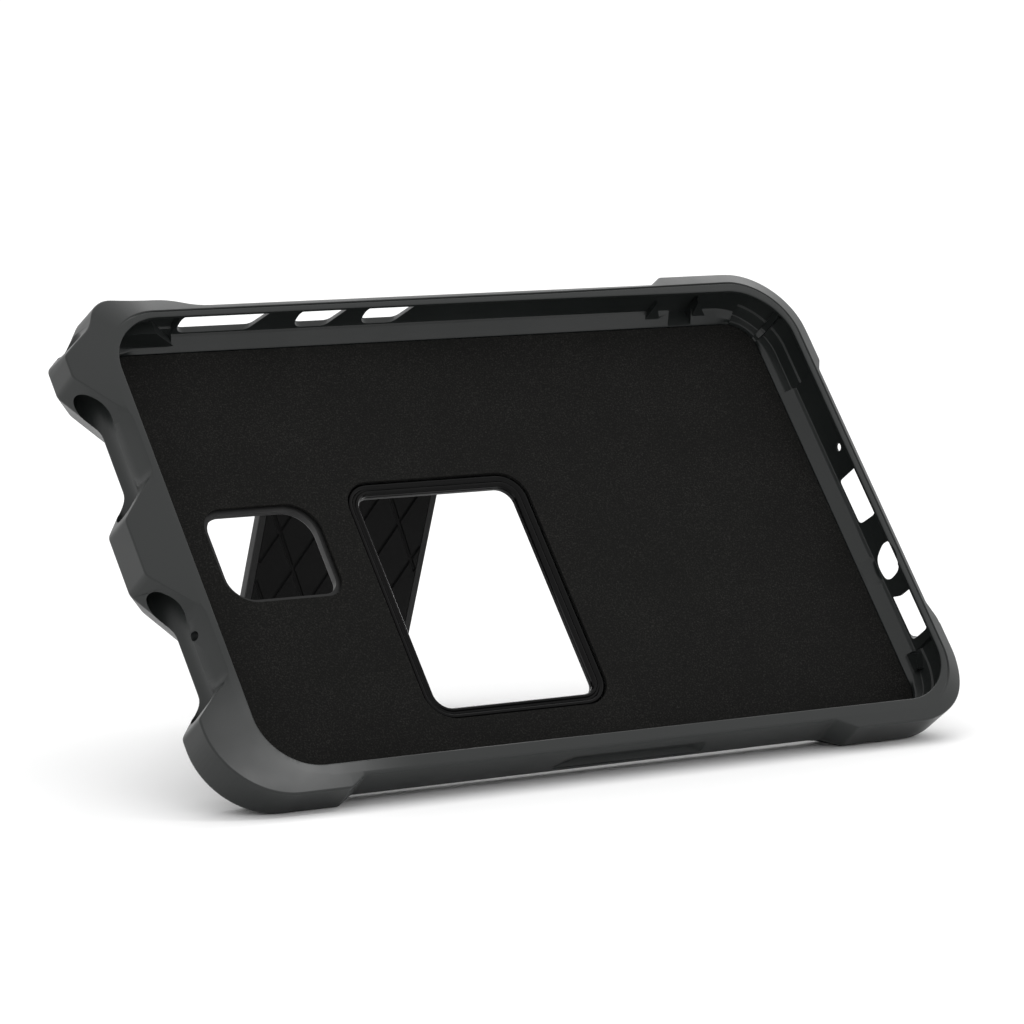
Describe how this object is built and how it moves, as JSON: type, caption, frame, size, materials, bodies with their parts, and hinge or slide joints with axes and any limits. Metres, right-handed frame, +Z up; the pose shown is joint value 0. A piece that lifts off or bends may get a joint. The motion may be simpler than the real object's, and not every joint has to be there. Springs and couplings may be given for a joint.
{
  "type": "rugged data collector case",
  "caption": "Rugged tray-shaped case for a handheld data collector, with rubber bumper rim, pen loops, port openings and a flip-out rear stand.",
  "frame": {"origin": "bottom centre of the bounding box, on the surface that the case stands on", "axes": "+Z up; +X along the case's long side; the opening faces -Y and upwards, leaning back 39.16 degrees from upright"},
  "size_m": [0.217, 0.1266, 0.1119],
  "materials": {
    "bumper_rubber": "satin moulded rubber",
    "shell_plastic": "fine moulded texture",
    "lining_cloth": "speckled short nap",
    "bezel_gloss": "gloss",
    "stand_plastic": "fine moulded texture",
    "grip_pad": "diamond grooves",
    "foot_rubber": "matte",
    "bright_steel": "drawn",
    "black_steel": "black zinc",
    "brass": "turned"
  },
  "bodies": {
    "case": {"bumper_frame": "bumper_rubber", "rear_shell": "shell_plastic", "floor_lining": "lining_cloth", "window_bezel": "bezel_gloss", "hinge_pin": "bright_steel", "hinge_bracket_left": "stand_plastic", "friction_washer_left": "bright_steel", "pin_clip_left": "black_steel", "hinge_bracket_right": "stand_plastic", "friction_washer_right": "bright_steel", "pin_clip_right": "black_steel", "bracket_screw_1": "black_steel", "threaded_insert_1": "brass", "bracket_screw_2": "black_steel", "threaded_insert_2": "brass", "bracket_screw_3": "black_steel", "threaded_insert_3": "brass", "bracket_screw_4": "black_steel", "threaded_insert_4": "brass"},
    "stand": {"stand_leg": "stand_plastic", "stand_grip_pad": "grip_pad", "stand_foot": "foot_rubber"}
  },
  "joints": [
    {"name": "stand_hinge", "type": "hinge", "parent": "case", "child": "stand", "pos_m": [-0.0143, 0.03016, 0.09077], "axis": [1, 0, 0], "range_deg": [-59.35, 0]}
  ]
}
